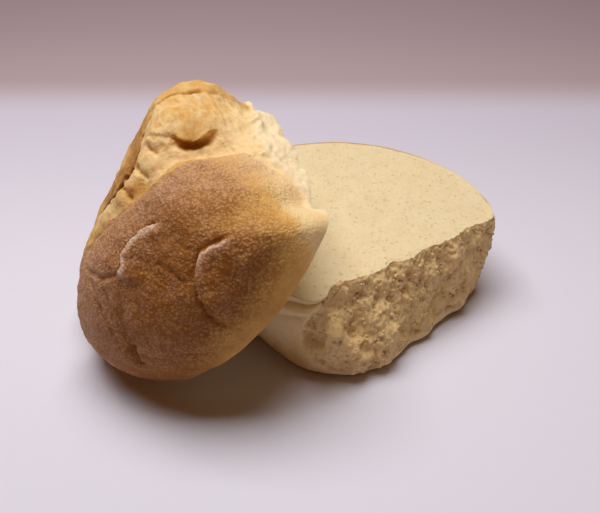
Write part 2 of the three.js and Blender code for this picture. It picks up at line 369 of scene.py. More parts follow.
# Its place: turned about the upright, in degrees, then moved, in millimetres.
lower_turn = turn_z(-49.5)
lower_shift = np.array([19.481638, 8.805484, 0.0])
lower_half = half_mesh("lower_half_bread", lower_crust, lower_cut, -1, lower_turn, lower_shift)
x, y, z = np.moveaxis(lower_crust, -1, 0)
azimuth = np.arctan2(y, x)
lower_bake_and_shade = 0.06 + 0.5 * ease(1.25, 2.0, np.abs(azimuth + 0.1))
# Browner low on the sides, towards the floor: the base crust's own browning, deepened with painted shade.
lower_bake_and_shade = lower_bake_and_shade + 0.42 * ease(20, 2, z) * ease(0.75, 1.1, np.abs(azimuth))
lower_bake_and_shade = lower_bake_and_shade + 0.5 * bump((azimuth - 0.98) / 0.22)
rim_angle = np.abs(np.arctan2(lower_cut[..., 1], lower_cut[..., 0]))
rim_width = 0.006 + 0.006 * lumps(lower_cut, 5, 34)
rim_gold = ease(1.4, 2.1, rim_angle) + 0.7 * bump((rim_angle - 1.02) / 0.06)
rim_bake = rim_gold * ease(rim_width + 0.014, rim_width, cut_share[..., 0])
lower_cut_bare = np.zeros(lower_cut.shape[:2])
side_flour = 0.1
side_pebbles = 0.25
paint(lower_half, "torn", lower_torn, 1 - rim_bake)
paint(lower_half, "loose", lower_torn, lower_cut_bare)
paint(lower_half, "bake", lower_bake_and_shade, rim_bake)
paint(lower_half, "flour", np.full(lower_torn.shape, side_flour), lower_cut_bare)
paint(lower_half, "pebbles", np.full(lower_torn.shape, side_pebbles), lower_cut_bare)


def add_node(tree, kind, values=None, **settings):
    """Adds one node; each of its values is a plain number or colour, or a socket to link."""
    item = tree.nodes.new(kind)
    for key, value in settings.items():
        setattr(item, key, value)
    for key, value in (values or {}).items():
        if hasattr(value, "is_linked"):
            tree.links.new(value, item.inputs[key])
        else:
            item.inputs[key].default_value = value
    return item


def new_group(name, inputs, outputs):
    """Starts a shader node group, with its named inputs and outputs."""
    group = bpy.data.node_groups.new(name, "ShaderNodeTree")
    for title, kind, default in inputs:
        socket = group.interface.new_socket(title, in_out="INPUT", socket_type=kind)
        if default is not None:
            socket.default_value = default
    for title, kind in outputs:
        group.interface.new_socket(title, in_out="OUTPUT", socket_type=kind)
    return group, group.nodes.new("NodeGroupInput"), group.nodes.new("NodeGroupOutput")


def mixed(tree, factor, a, b):
    """Mixes two colours by a mask; each is a socket or a plain colour."""
    return add_node(tree, "ShaderNodeMix", {0: factor, 6: a, 7: b}, data_type="RGBA").outputs[2]


def maths(tree, operation, a, b=0.0, c=0.0, clamp=False):
    """One sum on sockets or plain numbers."""
    values = {0: a, 1: b, 2: c}
    return add_node(tree, "ShaderNodeMath", values, operation=operation, use_clamp=clamp).outputs[0]


def ramp(tree, value, low, high, out_low=0.0, out_high=1.0):
    """A smooth step of a value from one range to another."""
    values = {0: value, 1: low, 2: high, 3: out_low, 4: out_high}
    return add_node(tree, "ShaderNodeMapRange", values, interpolation_type="SMOOTHSTEP").outputs[0]


def noise(tree, place, scale, detail, roughness=0.5):
    """A soft random pattern over a place."""
    values = {"Vector": place, "Scale": scale, "Detail": detail, "Roughness": roughness}
    return add_node(tree, "ShaderNodeTexNoise", values)


def swayed(tree, place, scale, reach):
    """The place pushed about a little, so that the cells laid over it come out uneven."""
    push = noise(tree, place, scale, 2.0).outputs["Color"]
    half = (0.5, 0.5, 0.5)
    push = add_node(tree, "ShaderNodeVectorMath", {0: push, 1: half}, operation="SUBTRACT").outputs[0]
    push = add_node(tree, "ShaderNodeVectorMath", {0: push, "Scale": reach}, operation="SCALE").outputs[0]
    return add_node(tree, "ShaderNodeVectorMath", {0: place, 1: push}, operation="ADD").outputs[0]


def cells(tree, place, scale):
    """Close-set uneven cells, for bubbles and pebbles."""
    values = {"Vector": place, "Scale": scale, "Randomness": 1.0}
    return add_node(tree, "ShaderNodeTexVoronoi", values, voronoi_dimensions="3D")


def painted(tree, title):
    """Reads the number that was painted on the piece under this name."""
    return add_node(tree, "ShaderNodeAttribute", attribute_name=title).outputs["Fac"]

# The crumb's open grain: gas bubbles left by the yeast, cut or torn through. One group gives a
# height, and a painted shade that darkens the bubbles' pits, for both the knife cut and the torn face.
pores, pores_in, pores_out = new_group(
    "crumb_pores",
    [
        ("Vector", "NodeSocketVector", None),
        ("Bubble Size", "NodeSocketFloat", 0.0016),
        ("Openness", "NodeSocketFloat", 0.5),
    ],
    [("Height", "NodeSocketFloat"), ("Painted Shade", "NodeSocketFloat")],
)
pore_scale = maths(pores, "DIVIDE", 1.0, pores_in.outputs["Bubble Size"])
pore_place = swayed(pores, pores_in.outputs["Vector"], 420.0, 0.0012)
layers = []
for factor, least in ((1.0, 0.62), (2.1, 0.54), (4.3, 0.5)):
    cell = cells(pores, pore_place, maths(pores, "MULTIPLY", pore_scale, factor))
    hole = ramp(pores, cell.outputs["Distance"], 0.12, 0.42, 1.0, 0.0)
    number = add_node(pores, "ShaderNodeSeparateColor", {0: cell.outputs["Color"]}).outputs[0]
    more_open = maths(pores, "SUBTRACT", pores_in.outputs["Openness"], 0.5)
    chance = maths(pores, "ADD", number, more_open)
    layers.append(maths(pores, "MULTIPLY", hole, ramp(pores, chance, least, least + 0.12)))
total = maths(pores, "MULTIPLY_ADD", layers[1], 0.6, layers[0])
total = maths(pores, "MULTIPLY_ADD", layers[2], 0.35, total)
pores.links.new(maths(pores, "MULTIPLY", total, -1.0), pores_out.inputs["Height"])
pores.links.new(maths(pores, "MINIMUM", total, 1.0), pores_out.inputs["Painted Shade"])

# What the oven does to the skin: pale where it is shielded, gold and then brown where it is bare,
# always a little patchy.
oven, oven_in, oven_out = new_group(
    "oven_colour",
    [
        ("Vector", "NodeSocketVector", None),
        ("Bake", "NodeSocketFloat", 0.5),
        ("Pale", "NodeSocketColor", (0.8, 0.6, 0.35, 1)),
        ("Gold", "NodeSocketColor", (0.6, 0.35, 0.12, 1)),
        ("Brown", "NodeSocketColor", (0.28, 0.12, 0.035, 1)),
    ],
    [("Color", "NodeSocketColor")],
)
patch = noise(oven, oven_in.outputs["Vector"], 110.0, 5.0, 0.62)
uneven = maths(oven, "MULTIPLY", maths(oven, "SUBTRACT", patch.outputs["Fac"], 0.5), 0.55)
heat = maths(oven, "ADD", oven_in.outputs["Bake"], uneven, clamp=True)
golden = mixed(oven, ramp(oven, heat, 0.0, 0.5), oven_in.outputs["Pale"], oven_in.outputs["Gold"])
browned = mixed(oven, ramp(oven, heat, 0.4, 1.0), golden, oven_in.outputs["Brown"])
oven.links.new(browned, oven_out.inputs["Color"])

# The grain of a soft crust: close-set pebbles about a millimetre across, with flour from shaping
# caught on their tops. It gives the dusting and the pebbles' height.
flour, flour_in, flour_out = new_group(
    "floured_grain",
    [("Vector", "NodeSocketVector", None), ("Amount", "NodeSocketFloat", 0.5)],
    [("Mask", "NodeSocketFloat"), ("Height", "NodeSocketFloat")],
)
pebble_place = swayed(flour, flour_in.outputs["Vector"], 600.0, 0.0016)
pebble = cells(flour, pebble_place, 1050.0)
pebble_top = ramp(flour, pebble.outputs["Distance"], 0.85, 0.05)
fine = noise(flour, flour_in.outputs["Vector"], 1500.0, 3.0, 0.6).outputs["Fac"]
broad = noise(flour, flour_in.outputs["Vector"], 200.0, 4.0, 0.6).outputs["Fac"]
level = maths(flour, "MULTIPLY_ADD", pebble_top, 0.2, maths(flour, "MULTIPLY", fine, 0.55))
level = maths(flour, "MULTIPLY_ADD", broad, 0.55, level)
level = maths(flour, "ADD", level, maths(flour, "MULTIPLY_ADD", flour_in.outputs["Amount"], 0.62, -0.62))
dusted = ramp(flour, level, 0.02, 0.82)
any_flour = ramp(flour, flour_in.outputs["Amount"], 0.0, 0.15)
flour.links.new(maths(flour, "MULTIPLY", dusted, any_flour), flour_out.inputs["Mask"])
flour.links.new(maths(flour, "MULTIPLY_ADD", fine, 0.5, pebble_top), flour_out.inputs["Height"])


def bread_material(name, light, deep, bubble, openness, roughness, skin=None, dust=None):
    """Crumb all over; or, given a skin's colours and its dust, skin with crumb where it is torn."""
    thick_flour = (0.80, 0.60, 0.47, 1)
    rim_crust = (0.50, 0.27, 0.09, 1)
    pit_painted_shade, fluffy = (0.7, 0.16) if skin else (0.35, 0.3)
    material = bpy.data.materials.new(name)
    material.use_nodes = True
    tree = material.node_tree
    tree.nodes.clear()
    out = add_node(tree, "ShaderNodeOutputMaterial")
    shader = add_node(
        tree,
        "ShaderNodeBsdfPrincipled",
        {
            "Roughness": roughness,
            "Specular IOR Level": 0.25,
            "Subsurface Weight": 0.2,
            "Subsurface Radius": (1.0, 0.62, 0.3),
            "Subsurface Scale": 0.003,
        },
    )
    tree.links.new(shader.outputs[0], out.inputs[0])
    place = add_node(tree, "ShaderNodeTexCoord").outputs["Object"]
    pored = {"Vector": place, "Bubble Size": bubble, "Openness": openness}
    grain = add_node(tree, "ShaderNodeGroup", pored, node_tree=pores)
    cloud = noise(tree, place, 140.0, 4.0, 0.6)
    crumb = mixed(tree, ramp(tree, cloud.outputs["Fac"], 0.35, 0.7, 0.0, 0.2), light, deep)
    # The bubbles' pits are mixed towards the deep colour: painted shade.
    crumb = mixed(tree, maths(tree, "MULTIPLY", grain.outputs["Painted Shade"], pit_painted_shade), crumb, deep)
    fluff = noise(tree, place, 900.0, 4.0, 0.7)
    crumb_height = maths(tree, "MULTIPLY_ADD", fluff.outputs["Fac"], fluffy, grain.outputs["Height"])
    torn = painted(tree, "torn")
    if skin:
        floured = painted(tree, "flour")
        pebbly = painted(tree, "pebbles")
        powder = add_node(tree, "ShaderNodeGroup", {"Vector": place, "Amount": floured}, node_tree=flour)
        thick_dust = mixed(tree, ramp(tree, floured, 0.8, 1.0), dust, thick_flour)
        # Pebble tops are painted paler and the crevices between them darker: painted light and shade on the
        # grain, added to the bake before the oven colour.
        pebble_light_and_shade = maths(tree, "MULTIPLY_ADD", powder.outputs["Height"], -0.2, 0.15)
        heat_and_shade = maths(tree, "MULTIPLY_ADD", pebble_light_and_shade, pebbly, painted(tree, "bake"))
        browning = {"Vector": place, "Bake": heat_and_shade, **skin}
        baked = add_node(tree, "ShaderNodeGroup", browning, node_tree=oven)
        dusting = maths(tree, "MULTIPLY", powder.outputs["Mask"], 0.75)
        crust = mixed(tree, dusting, baked.outputs["Color"], thick_dust)
        crinkle = noise(tree, place, 260.0, 5.0, 0.6)
        pebble_height = maths(tree, "MULTIPLY", powder.outputs["Height"], pebbly)
        crust_height = maths(tree, "MULTIPLY_ADD", pebble_height, 0.55, crinkle.outputs["Fac"])
        colour = mixed(tree, torn, crust, crumb)
        heights = {0: torn, 2: crust_height, 3: crumb_height}
        height = add_node(tree, "ShaderNodeMix", heights, data_type="FLOAT").outputs[0]
    else:
        colour = mixed(tree, torn, rim_crust, crumb)
        height = crumb_height
    relief = add_node(tree, "ShaderNodeBump", {"Strength": 0.6, "Distance": 0.0006, "Height": height})
    tree.links.new(colour, shader.inputs["Base Color"])
    tree.links.new(relief.outputs["Normal"], shader.inputs["Normal"])
    return material


cut_crumb = bread_material(
    "cut_crumb",
    light=(0.775, 0.64, 0.39, 1),
    deep=(0.62, 0.45, 0.21, 1),
    bubble=0.0017,
    openness=0.42,
    roughness=0.85,
)
# The torn face's crumb colours are darker and browner than the same crumb on the crown: painted shade, as
# this face turns away from the light.
torn_side = bread_material(
    "torn_side_and_base",
    light=(0.80, 0.575, 0.28, 1),
    deep=(0.52, 0.325, 0.115, 1),
    bubble=0.0021,
    openness=0.42,
    roughness=0.8,
    skin={"Pale": (0.80, 0.62, 0.34, 1), "Gold": (0.66, 0.38, 0.13, 1), "Brown": (0.33, 0.15, 0.045, 1)},
    dust=(0.86, 0.78, 0.68, 1),
)
lower_half.data.materials.append(torn_side)
lower_half.data.materials.append(cut_crumb)
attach(lower_half, "root")
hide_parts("lower_half")

# ---------------------------------------------------------------------------------------------------
# The upper half: the crown of the roll, browned and floured on its near lobe, folded over a seam that
# stayed pale, with lifted plates of crust. It leans on the lower half's rim, cut face down.


def turn_y(degrees):
    c, s = np.cos(np.radians(degrees)), np.sin(np.radians(degrees))
    return np.array([[c, 0, s], [0, 1.0, 0], [-s, 0, c]])


seam_depth = 7.0
seam_width = 8
upper_turn = turn_z(23.3) @ turn_y(-46.9) @ turn_z(-3.8)
upper_shift = np.array([-24.385604, -12.754142, 41.067319])
upper_columns = column_angles(torn_reach=54, torn_count=190, skin_count=300)
upper_crust = crust_grid(upper_columns, rows=160, side=1)
torn_reach = tear_field(*np.moveaxis(upper_crust, -1, 0)) - dough_field(*np.moveaxis(upper_crust, -1, 0))
x, y, z = np.moveaxis(upper_crust.copy(), -1, 0)
seam_line = -4 + 3 * np.sin(0.05 * x + 0.6) + 9 * ease(5, -30, x)
seam = seam_depth * bump((y - seam_line) / seam_width)
pocket = 3.5 * bump((x - 19) / 8) * bump((y - 1) / 5)
near_rim = ease(54, 36, z)
upper_crust[..., 0] -= 4.5 * ease(0, 36, y) * ease(10, 36, x) * near_rim
upper_crust[..., 1] += 2.0 * ease(-20, -50, y) * near_rim
upper_crust[..., 2] -= (seam + pocket) * ease(44, 60, z) + cut_height
upper_normal = grid_normals(upper_crust, 1)
x, y, z = np.moveaxis(upper_crust, -1, 0)


def nearest_on(points, line):
    """Distance to a line of corners, the share along it, and the side (above 0 on its left)."""
    line = np.array(line, float)
    legs = np.linalg.norm(np.diff(line, axis=0), axis=1)
    start = np.concatenate([[0], legs.cumsum()]) / legs.sum()
    best = np.full(points.shape[:-1], 1e9)
    share = np.zeros_like(best)
    side = np.zeros_like(best)
    for i, (a, b) in enumerate(zip(line[:-1], line[1:])):
        leg = b - a
        t = np.clip(((points - a) @ leg) / (leg @ leg), 0, 1)
        off = points - (a + t[..., None] * leg)
        away = np.linalg.norm(off, axis=-1)
        sign = np.sign((np.cross(leg, off) * upper_normal).sum(-1))
        closer = away < best
        best = np.where(closer, away, best)
        share = np.where(closer, start[i] + t * (start[i + 1] - start[i]), share)
        side = np.where(closer, sign, side)
    return best, share, side


jitter = np.stack([lumps(upper_crust, 3.5, seed) for seed in (71, 72, 73)], -1) * 0.9
wandering = upper_crust + jitter


def groove(line, depth, width):
    """A wrinkle pressed in along a line, fading out at both ends, with a mask of it for painted shade in the
    crease.
    """
    away, share, _ = nearest_on(wandering, line)
    mark = bump(away / width) * ease(0, 0.15, share) * ease(1, 0.8, share)
    return -depth * mark, mark * min(1.0, depth)


def plate(line, lift, reach):
    """Crust lifted on the left of a line with a sharp edge; the skin beside it is pulled in. Gives the lift,
    a mask of the pulled-in skin for painted shade, and one of the lifted lip for flour and painted
    highlight.
    """
    edge = 0.35
    away, share, side = nearest_on(wandering, line)
    signed = away * side
    ends = ease(0, 0.1, share) * ease(1, 0.85, share)
    raised = lift * ease(-edge, edge, signed) * bump(np.clip(signed, 0, None) / reach)
    sunk = ease(edge, -edge, signed) * bump(np.clip(-signed - edge, 0, None) / 0.8)
    caught = ease(-edge, edge, signed) * bump(np.clip(signed, 0, None) / 2.2)
    return (raised - 0.35 * lift * sunk) * ends, 0.6 * sunk * ends, caught * ends


first_plate = [(15, -42.3, 22.3), (12.9, -42.2, 23), (9.2, -41.3, 24.5), (5.3, -40.5, 25.8),
               (1.5, -42.2, 24.8), (-2.3, -44.2, 23.2), (-4.1, -46.5, 20.7), (-5.6, -48.7, 17.5),
               (-7.2, -50.5, 13)]
second_plate = [(2, -27, 34.2), (-0.9, -25.9, 34.4), (-5.4, -24.2, 35.2), (-10, -24.2, 35.3),
                (-13.4, -25.3, 34.8), (-16.5, -27.4, 33.5), (-20, -29, 32)]
outer_fold = [(-33, 30, 17), (-26, 23, 24.7), (-19, 16, 29), (-12.7, 10.5, 31.4), (-2.5, 7.8, 32.7),
              (3.1, 11.6, 33.3), (7.1, 20.1, 32.2), (15.5, 25.8, 32.3), (22, 27.6, 29.9), (28, 28.5, 23.2),
              (32.1, 29.2, 14.3), (33.1, 29.5, 6)]
lift_one, crease_shade_one, lip_flour_and_highlight_one = plate(first_plate, lift=1.9, reach=8)
lift_two, crease_shade_two, lip_flour_and_highlight_two = plate(second_plate, lift=1.6, reach=7)
offset = lift_one + lift_two
# Masks of the pulled-in skin beside the plates and of the wrinkles, for painted shade in those creases.
crease_shade = crease_shade_one + crease_shade_two

# Wrinkles of the near lobe, each with its depth and width.
for depth, width, line in (
    (0.7, 0.55, [(-8, -33.5, 31), (-6.3, -35.9, 29.7), (-4.9, -39.6, 27.1), (-4.1, -42.9, 24.4),
                 (-3.6, -44.6, 22.8)]),
    (0.7, 0.7, [(-5.6, -48.7, 17.5), (-7.2, -50.5, 13), (-6.9, -51.3, 8.7), (-4, -52, 5)]),
    (0.9, 0.8, [(-29, -13, 35), (-27.2, -17, 35.2), (-23.9, -23.4, 33.9), (-20.4, -26.1, 33.5),
                (-18, -28, 33)]),
    (0.6, 1.2, [(-17, -28, 33), (-19.3, -28.6, 32.5), (-24, -30.7, 30), (-28.6, -32.9, 26.7),
                (-33.4, -35.8, 21.5), (-36, -37, 17)]),
    (1.9, 1.5, [(-33.5, -37, 21), (-35.2, -37.5, 18), (-36.6, -38.3, 15.4), (-37.2, -38.9, 12)]),
    (0.7, 0.7, [(-27.7, -15.3, 35.3), (-31.9, -22.7, 31.3), (-34.9, -30.4, 25.1), (-38.3, -33.3, 19.8),
                (-41, -35, 12)]),
    (0.7, 0.8, [(-30, -12, 34), (-36, -18, 29), (-40, -24, 22), (-43, -28, 14)]),
    (0.5, 0.5, [(-25, -24, 33), (-30, -28, 28.5), (-34, -32, 23), (-37, -34, 17)]),
    (0.45, 0.5, [(-24, -19, 34.5), (-28, -26, 31), (-33, -34, 23)]),
    (0.45, 0.7, [(-14, -30, 34), (-19, -35, 29.5), (-25, -40, 22.5), (-29, -42, 14)]),
    (0.5, 0.5, [(-2, -33, 32), (2, -36, 29.8), (4, -38.5, 27.6)]),
    (0.5, 0.5, [(-14, -26, 34.6), (-11, -29, 33.6), (-8, -33.5, 31)]),
    (0.3, 0.6, [(8, -22, 32.8), (12, -26, 29.6), (15, -31, 25.5)]),
    (0.5, 0.6, [(2, -18, 36), (-2, -22, 36), (-5.4, -24.2, 35.2)]),
):
    pressed, mark = groove(line, depth, width)
    offset = offset + pressed
    crease_shade = crease_shade + 0.45 * mark
fold_press, fold_shade_mark = groove(outer_fold, depth=1.9, width=0.7)
away, _, side = nearest_on(wandering, outer_fold)
outer_band = ease(-0.4, 0.6, away * side) * ease(20, 12, away) * ease(6, 9, y) * ease(-33, -22, x)
offset = offset + fold_press

# Swellings between the folds of the seam, and the short creases that part them.
for middle, height, reach in (
    ((11.4, 10.4, 33.4), 1.8, 4),
    ((5.0, 4.5, 32.0), 1.7, 4),
    ((-4, 4.0, 31.5), 1.4, 4),
    ((-10.6, 5.3, 30.5), 1.6, 4.5),
    ((18, 17, 31), 1.2, 7),
    ((-19, 6, 29), 1.2, 4),
    ((14.1, 2.6, 28.6), 0.9, 3),
):
    away = np.linalg.norm(upper_crust - np.array(middle), axis=-1)
    offset = offset + height * bump(away / reach)
for depth, width, line in (
    (1.5, 0.9, [(8.9, 11.5, 33), (8.6, 8, 33), (9.5, 4.5, 31.6), (11, 1, 28.8)]),
    (1.3, 1.0, [(1.5, 9, 33), (1, 5.5, 32), (2, 1.5, 29.5)]),
    (1.2, 1.0, [(-7, 8, 32), (-7.5, 4, 30.5), (-6.8, 1, 29.4)]),
):
    pressed, mark = groove(line, depth, width)
    offset = offset + pressed
    crease_shade = crease_shade + 0.2 * mark

# The far lobe hangs over a pocket in the seam.
lobe_edge = [(9, 14.5, 33.2), (12.8, 9.6, 32.4), (17.2, 6.2, 28.9), (20.4, 5.2, 24.8), (24.3, 6.6, 20.8),
             (29.5, 8.6, 15.6)]
away, share, side = nearest_on(upper_crust + 0.5 * jitter, lobe_edge)
signed = away * side + 0.7 * lumps(upper_crust, 5, 59)
along_edge = ease(0.3, 0.5, share) * ease(0.88, 0.6, share)
hollow = ease(0.7, -1.1, signed) * bump(np.clip(-signed - 1.9, 0, None) / 1.7) * along_edge
overhang = ease(-0.6, 0.8, signed) * bump(np.clip(signed, 0, None) / 5.5) * along_edge
edge_crease = bump((signed + 0.4) / 0.9) * (1 - along_edge) * ease(0.9, 0.4, share)
offset = offset - 3.7 * hollow + 1.6 * overhang - 0.7 * edge_crease

# The browned and floured front ends along a wavering line; beyond it the skin is pale and finely folded.
crown_share = ease(2, 14, z)
edge_x = [-40, -33, -25.7, -15.3, -6.6, -1, 3, 7, 12, 16, 19, 23, 27.8, 29, 32, 34]
edge_y = [16, 12, 8.3, 3.7, 0.6, -4, -9, -12, -12.5, -10, -6, -4.5, -7, -11, -20, -26]
front_edge = np.interp(x, edge_x, edge_y)
past_edge = y - front_edge + 1.1 * lumps(upper_crust, 4, 44) + 0.6 * lumps(upper_crust, 1.6, 46)
front = ease(1.3, -1.3, past_edge)
wavy = 0.5 * lumps(upper_crust, 9, 41) + 0.3 * lumps(upper_crust, 4, 42) * crown_share
gap, _ = bubbles(upper_crust, 1.25, 43)
pebbled = (0.20 * ease(0.75, 0.1, gap) + 0.14 * lumps(upper_crust, 2.4, 47)) * ease(0, 9, z)
up_slope = np.stack([x * 0.8 - z * 0.6, (y + x * 0.3 + z * 0.3) * 0.35, z * 0.3], -1)
fine_fold = 0.22 - np.abs(lumps(up_slope, 2.2, 45) + 0.4 * lumps(upper_crust, 3, 49))
folded = (1 - front) * ease(0, 8, z) * (1 - hollow) * (1 - 0.8 * outer_band) * (0.35 + 0.65 * ease(8, 16, x))
offset = offset + wavy + pebbled * front + 0.45 * folded * fine_fold
soft_skin = 0.1 * lumps(upper_crust, 1.1, 48) + 0.35 * lumps(upper_crust, 3.2, 60) * ease(0, 8, z)
offset = offset + (1 - front) * soft_skin

# Only the lowest strip of this side tore; above it the skin is whole and soft.
strip = np.interp(y, [-40, -30, -19, -8, 6, 16, 24, 30], [0.2, 1.2, 4.5, 10, 9.5, 7.0, 3.5, 1.0])
upper_torn = ease(-3.5, -0.5, torn_reach + 0.8 * lumps(upper_crust, 4, 51)) * ease(14, 24, x)
ragged = z - strip + 1.6 * lumps(upper_crust, 5, 52) + 1.0 * lumps(upper_crust, 2, 57)
upper_torn = upper_torn * ease(1.4, -1.2, ragged)
paling = ease(17, 2, z - strip) * ease(12, 26, x) * ease(-46, -20, y) * ease(31, 27, y)
combed = np.stack([x, y * 0.45 - z * 0.3, y * 0.3 + z * 0.8], -1)
fray = 0.9 * lumps(combed, 5, 54) + 0.5 * lumps(combed, 2.4, 53) + 0.9
fray = fray - 0.3 * np.abs(lumps(combed, 1.8, 55)) + 0.14 * lumps(upper_crust, 1.1, 56)
fray = fray + 1.5 * ease(-2, 12, y) * ease(30, 22, y)
offset = offset * (1 - upper_torn) + fray * upper_torn
push = upper_normal * offset[..., None] + np.array([-1.7, -1.5, 0.2]) * overhang[..., None]
push[0, :, 2] = 0
upper_crust = upper_crust + push
upper_crust[..., 2] = np.clip(upper_crust[..., 2], 0, None)
upper_crust[-1, :] = upper_crust[-1].mean(0)

# The leaning half's own knife cut, hidden underneath.
upper_cut_rows = 40
cut_share = np.linspace(0, 1, upper_cut_rows)[:, None, None]
upper_cut = upper_crust[:1] * (1 - cut_share)
inward = ease(0, 0.06, cut_share[..., 0])
gap, pick = bubbles(upper_cut, 3.1, 61)
dent = 0.45 * ease(0.36, 0.1, gap) * (pick > 0.6)
upper_cut[..., 2] += inward * (0.2 * lumps(upper_cut, 14, 62) + 0.35 + dent)
upper_cut[-1, :] = [0, 0, upper_cut[-1, 0, 2]]

upper_half = half_mesh("upper_half_bread", upper_crust, upper_cut, 1, upper_turn, upper_shift)
x, y, z = np.moveaxis(upper_crust, -1, 0)
beyond = y - front_edge
lowness = ease(18, 3, z)
towards_tear = ease(17, 33, x)
front_bake = 0.93 - 0.4 * ease(17, 0, z) * ease(-34, -8, x) - 0.16 * ease(0, 22, x)
front_bake = front_bake - 0.42 * towards_tear - 0.1 * ease(-22, -10, y)
front_bake = front_bake - 0.3 * ease(24, 32, x) * ease(12, 4, z)
orange = 0.30 * bump((beyond - 2.5) / 4) * ease(26, 16, x) * ease(-16, -6, x)
face = 0.12 * ease(3, 12, y) * ease(8, 14, x) * (1 - outer_band)
side_band = outer_band * (0.22 + 0.34 * ease(16, 2, x))
back_wall = 0.32 * ease(-16, -38, x) + 0.26 * ease(24, 40, y) * ease(26, 8, x)
far_bake_and_shade = 0.12 + orange + face + np.maximum(side_band, back_wall)
# Darker along the outer fold's groove: painted shade.
far_bake_and_shade = far_bake_and_shade + 0.6 * fold_shade_mark + 0.12 * lumps(upper_crust, 3, 58) * (y > 8)
upper_bake_and_shade = front * front_bake + (1 - front) * far_bake_and_shade
# Darker in the pocket, under the far lobe's overhang and in the creases: painted shade.
upper_bake_and_shade = upper_bake_and_shade + 0.3 * hollow + 0.28 * overhang + 0.3 * np.clip(crease_shade, 0, 1)
# Darker in the valleys of the fine folds: painted shade.
upper_bake_and_shade = upper_bake_and_shade + 0.3 * ease(0.1, -0.4, fine_fold) * (1 - front) * 0.4
upper_bake_and_shade = upper_bake_and_shade * (1 - 0.9 * paling * (1 - 0.5 * front))
# The plates' lifted lips get thick white flour, which also stands as their painted highlight.
lips_flour_and_highlight = lip_flour_and_highlight_one * ease(-4, 6, x) + lip_flour_and_highlight_two
front_flour = 0.24 - 0.2 * lowness - 0.10 * towards_tear + 0.46 * ease(-36, -15, y)
front_flour = front_flour + 0.12 * ease(-14, -24, x) + 0.9 * lips_flour_and_highlight
upper_flour = front * front_flour
# Less flour in the creases: painted shade.
upper_flour = upper_flour - 0.45 * np.clip(crease_shade, 0, 1) + (1 - front) * 0.12
upper_cut_bare = np.zeros(upper_cut.shape[:2])
paint(upper_half, "torn", upper_torn, np.ones(upper_cut.shape[:2]))
paint(upper_half, "bake", np.clip(upper_bake_and_shade, 0, 1), upper_cut_bare)
paint(upper_half, "flour", np.clip(upper_flour, 0, 1), upper_cut_bare)
paint(upper_half, "pebbles", 0.3 + 0.7 * front * ease(0, 10, z), upper_cut_bare)
crown_crust = bread_material(
    "crown_crust",
    light=(0.86, 0.70, 0.44, 1),
    deep=(0.82, 0.645, 0.375, 1),
    bubble=0.0019,
    openness=0.02,
    roughness=0.72,
    skin={"Pale": (0.83, 0.61, 0.31, 1), "Gold": (0.66, 0.37, 0.10, 1), "Brown": (0.245, 0.082, 0.006, 1)},
    dust=(0.655, 0.395, 0.245, 1),
)
upper_half.data.materials.append(crown_crust)
upper_half.data.materials.append(cut_crumb)
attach(upper_half, "root")
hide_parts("upper_half")

# ---------------------------------------------------------------------------------------------------
# Loose crumbs and flour: bits of crumb that cling where the lower half was torn, and specks of flour
# that sit on the crust. Each is one small lumpy grain, sown over its half and sunk in to its middle.

sowing = bpy.data.node_groups.new("sown_grains", "GeometryNodeTree")
sowing.interface.new_socket("Geometry", in_out="INPUT", socket_type="NodeSocketGeometry")
for title, kind, default in (
    ("Where", "NodeSocketString", "torn"),
    ("Least", "NodeSocketFloat", 0.5),
    ("Per Square Metre", "NodeSocketFloat", 1000.0),
    ("Smallest", "NodeSocketFloat", 0.0002),
    ("Largest", "NodeSocketFloat", 0.0005),
    ("Flatness", "NodeSocketFloat", 0.7),
    ("Seed", "NodeSocketInt", 1),
    ("Material", "NodeSocketMaterial", None),
):
    socket = sowing.interface.new_socket(title, in_out="INPUT", socket_type=kind)
    if default is not None:
        socket.default_value = default
sowing.interface.new_socket("Geometry", in_out="OUTPUT", socket_type="NodeSocketGeometry")
sown_in = sowing.nodes.new("NodeGroupInput").outputs
here = add_node(sowing, "GeometryNodeInputNamedAttribute", {"Name": sown_in["Where"]}, data_type="FLOAT")
enough = add_node(
    sowing, "FunctionNodeCompare", {0: here.outputs[0], 1: sown_in["Least"]}, operation="GREATER_THAN"
)
points = add_node(
    sowing,
    "GeometryNodeDistributePointsOnFaces",
    {
        "Mesh": sown_in["Geometry"],
        "Selection": enough.outputs[0],
        "Density": sown_in["Per Square Metre"],
        "Seed": sown_in["Seed"],
    },
)
ball = add_node(sowing, "GeometryNodeMeshIcoSphere", {"Radius": 1.0, "Subdivisions": 1})
dents = add_node(sowing, "ShaderNodeTexNoise", {"Scale": 1.3})
dent = add_node(
    sowing, "ShaderNodeVectorMath", {0: dents.outputs["Color"], 1: (0.5, 0.5, 0.5)}, operation="SUBTRACT"
)
dented = {"Geometry": ball.outputs["Mesh"], "Offset": dent.outputs[0]}
lumpy = add_node(sowing, "GeometryNodeSetPosition", dented)
size = add_node(
    sowing,
    "FunctionNodeRandomValue",
    {2: sown_in["Smallest"], 3: sown_in["Largest"], "Seed": sown_in["Seed"]},
    data_type="FLOAT",
)
widest_turn = (0.6, 0.6, 6.28)
spin = add_node(
    sowing, "FunctionNodeRandomValue", {0: (0, 0, 0), 1: widest_turn, "Seed": 5}, data_type="FLOAT_VECTOR"
)
turning = {0: points.outputs["Rotation"], 1: spin.outputs[0]}
turned = add_node(sowing, "FunctionNodeRotateRotation", turning, rotation_space="LOCAL")
flat = add_node(sowing, "ShaderNodeCombineXYZ", {0: 1.0, 1: 1.0, 2: sown_in["Flatness"]})
scaling = {0: flat.outputs[0], "Scale": size.outputs[1]}
scale = add_node(sowing, "ShaderNodeVectorMath", scaling, operation="SCALE")
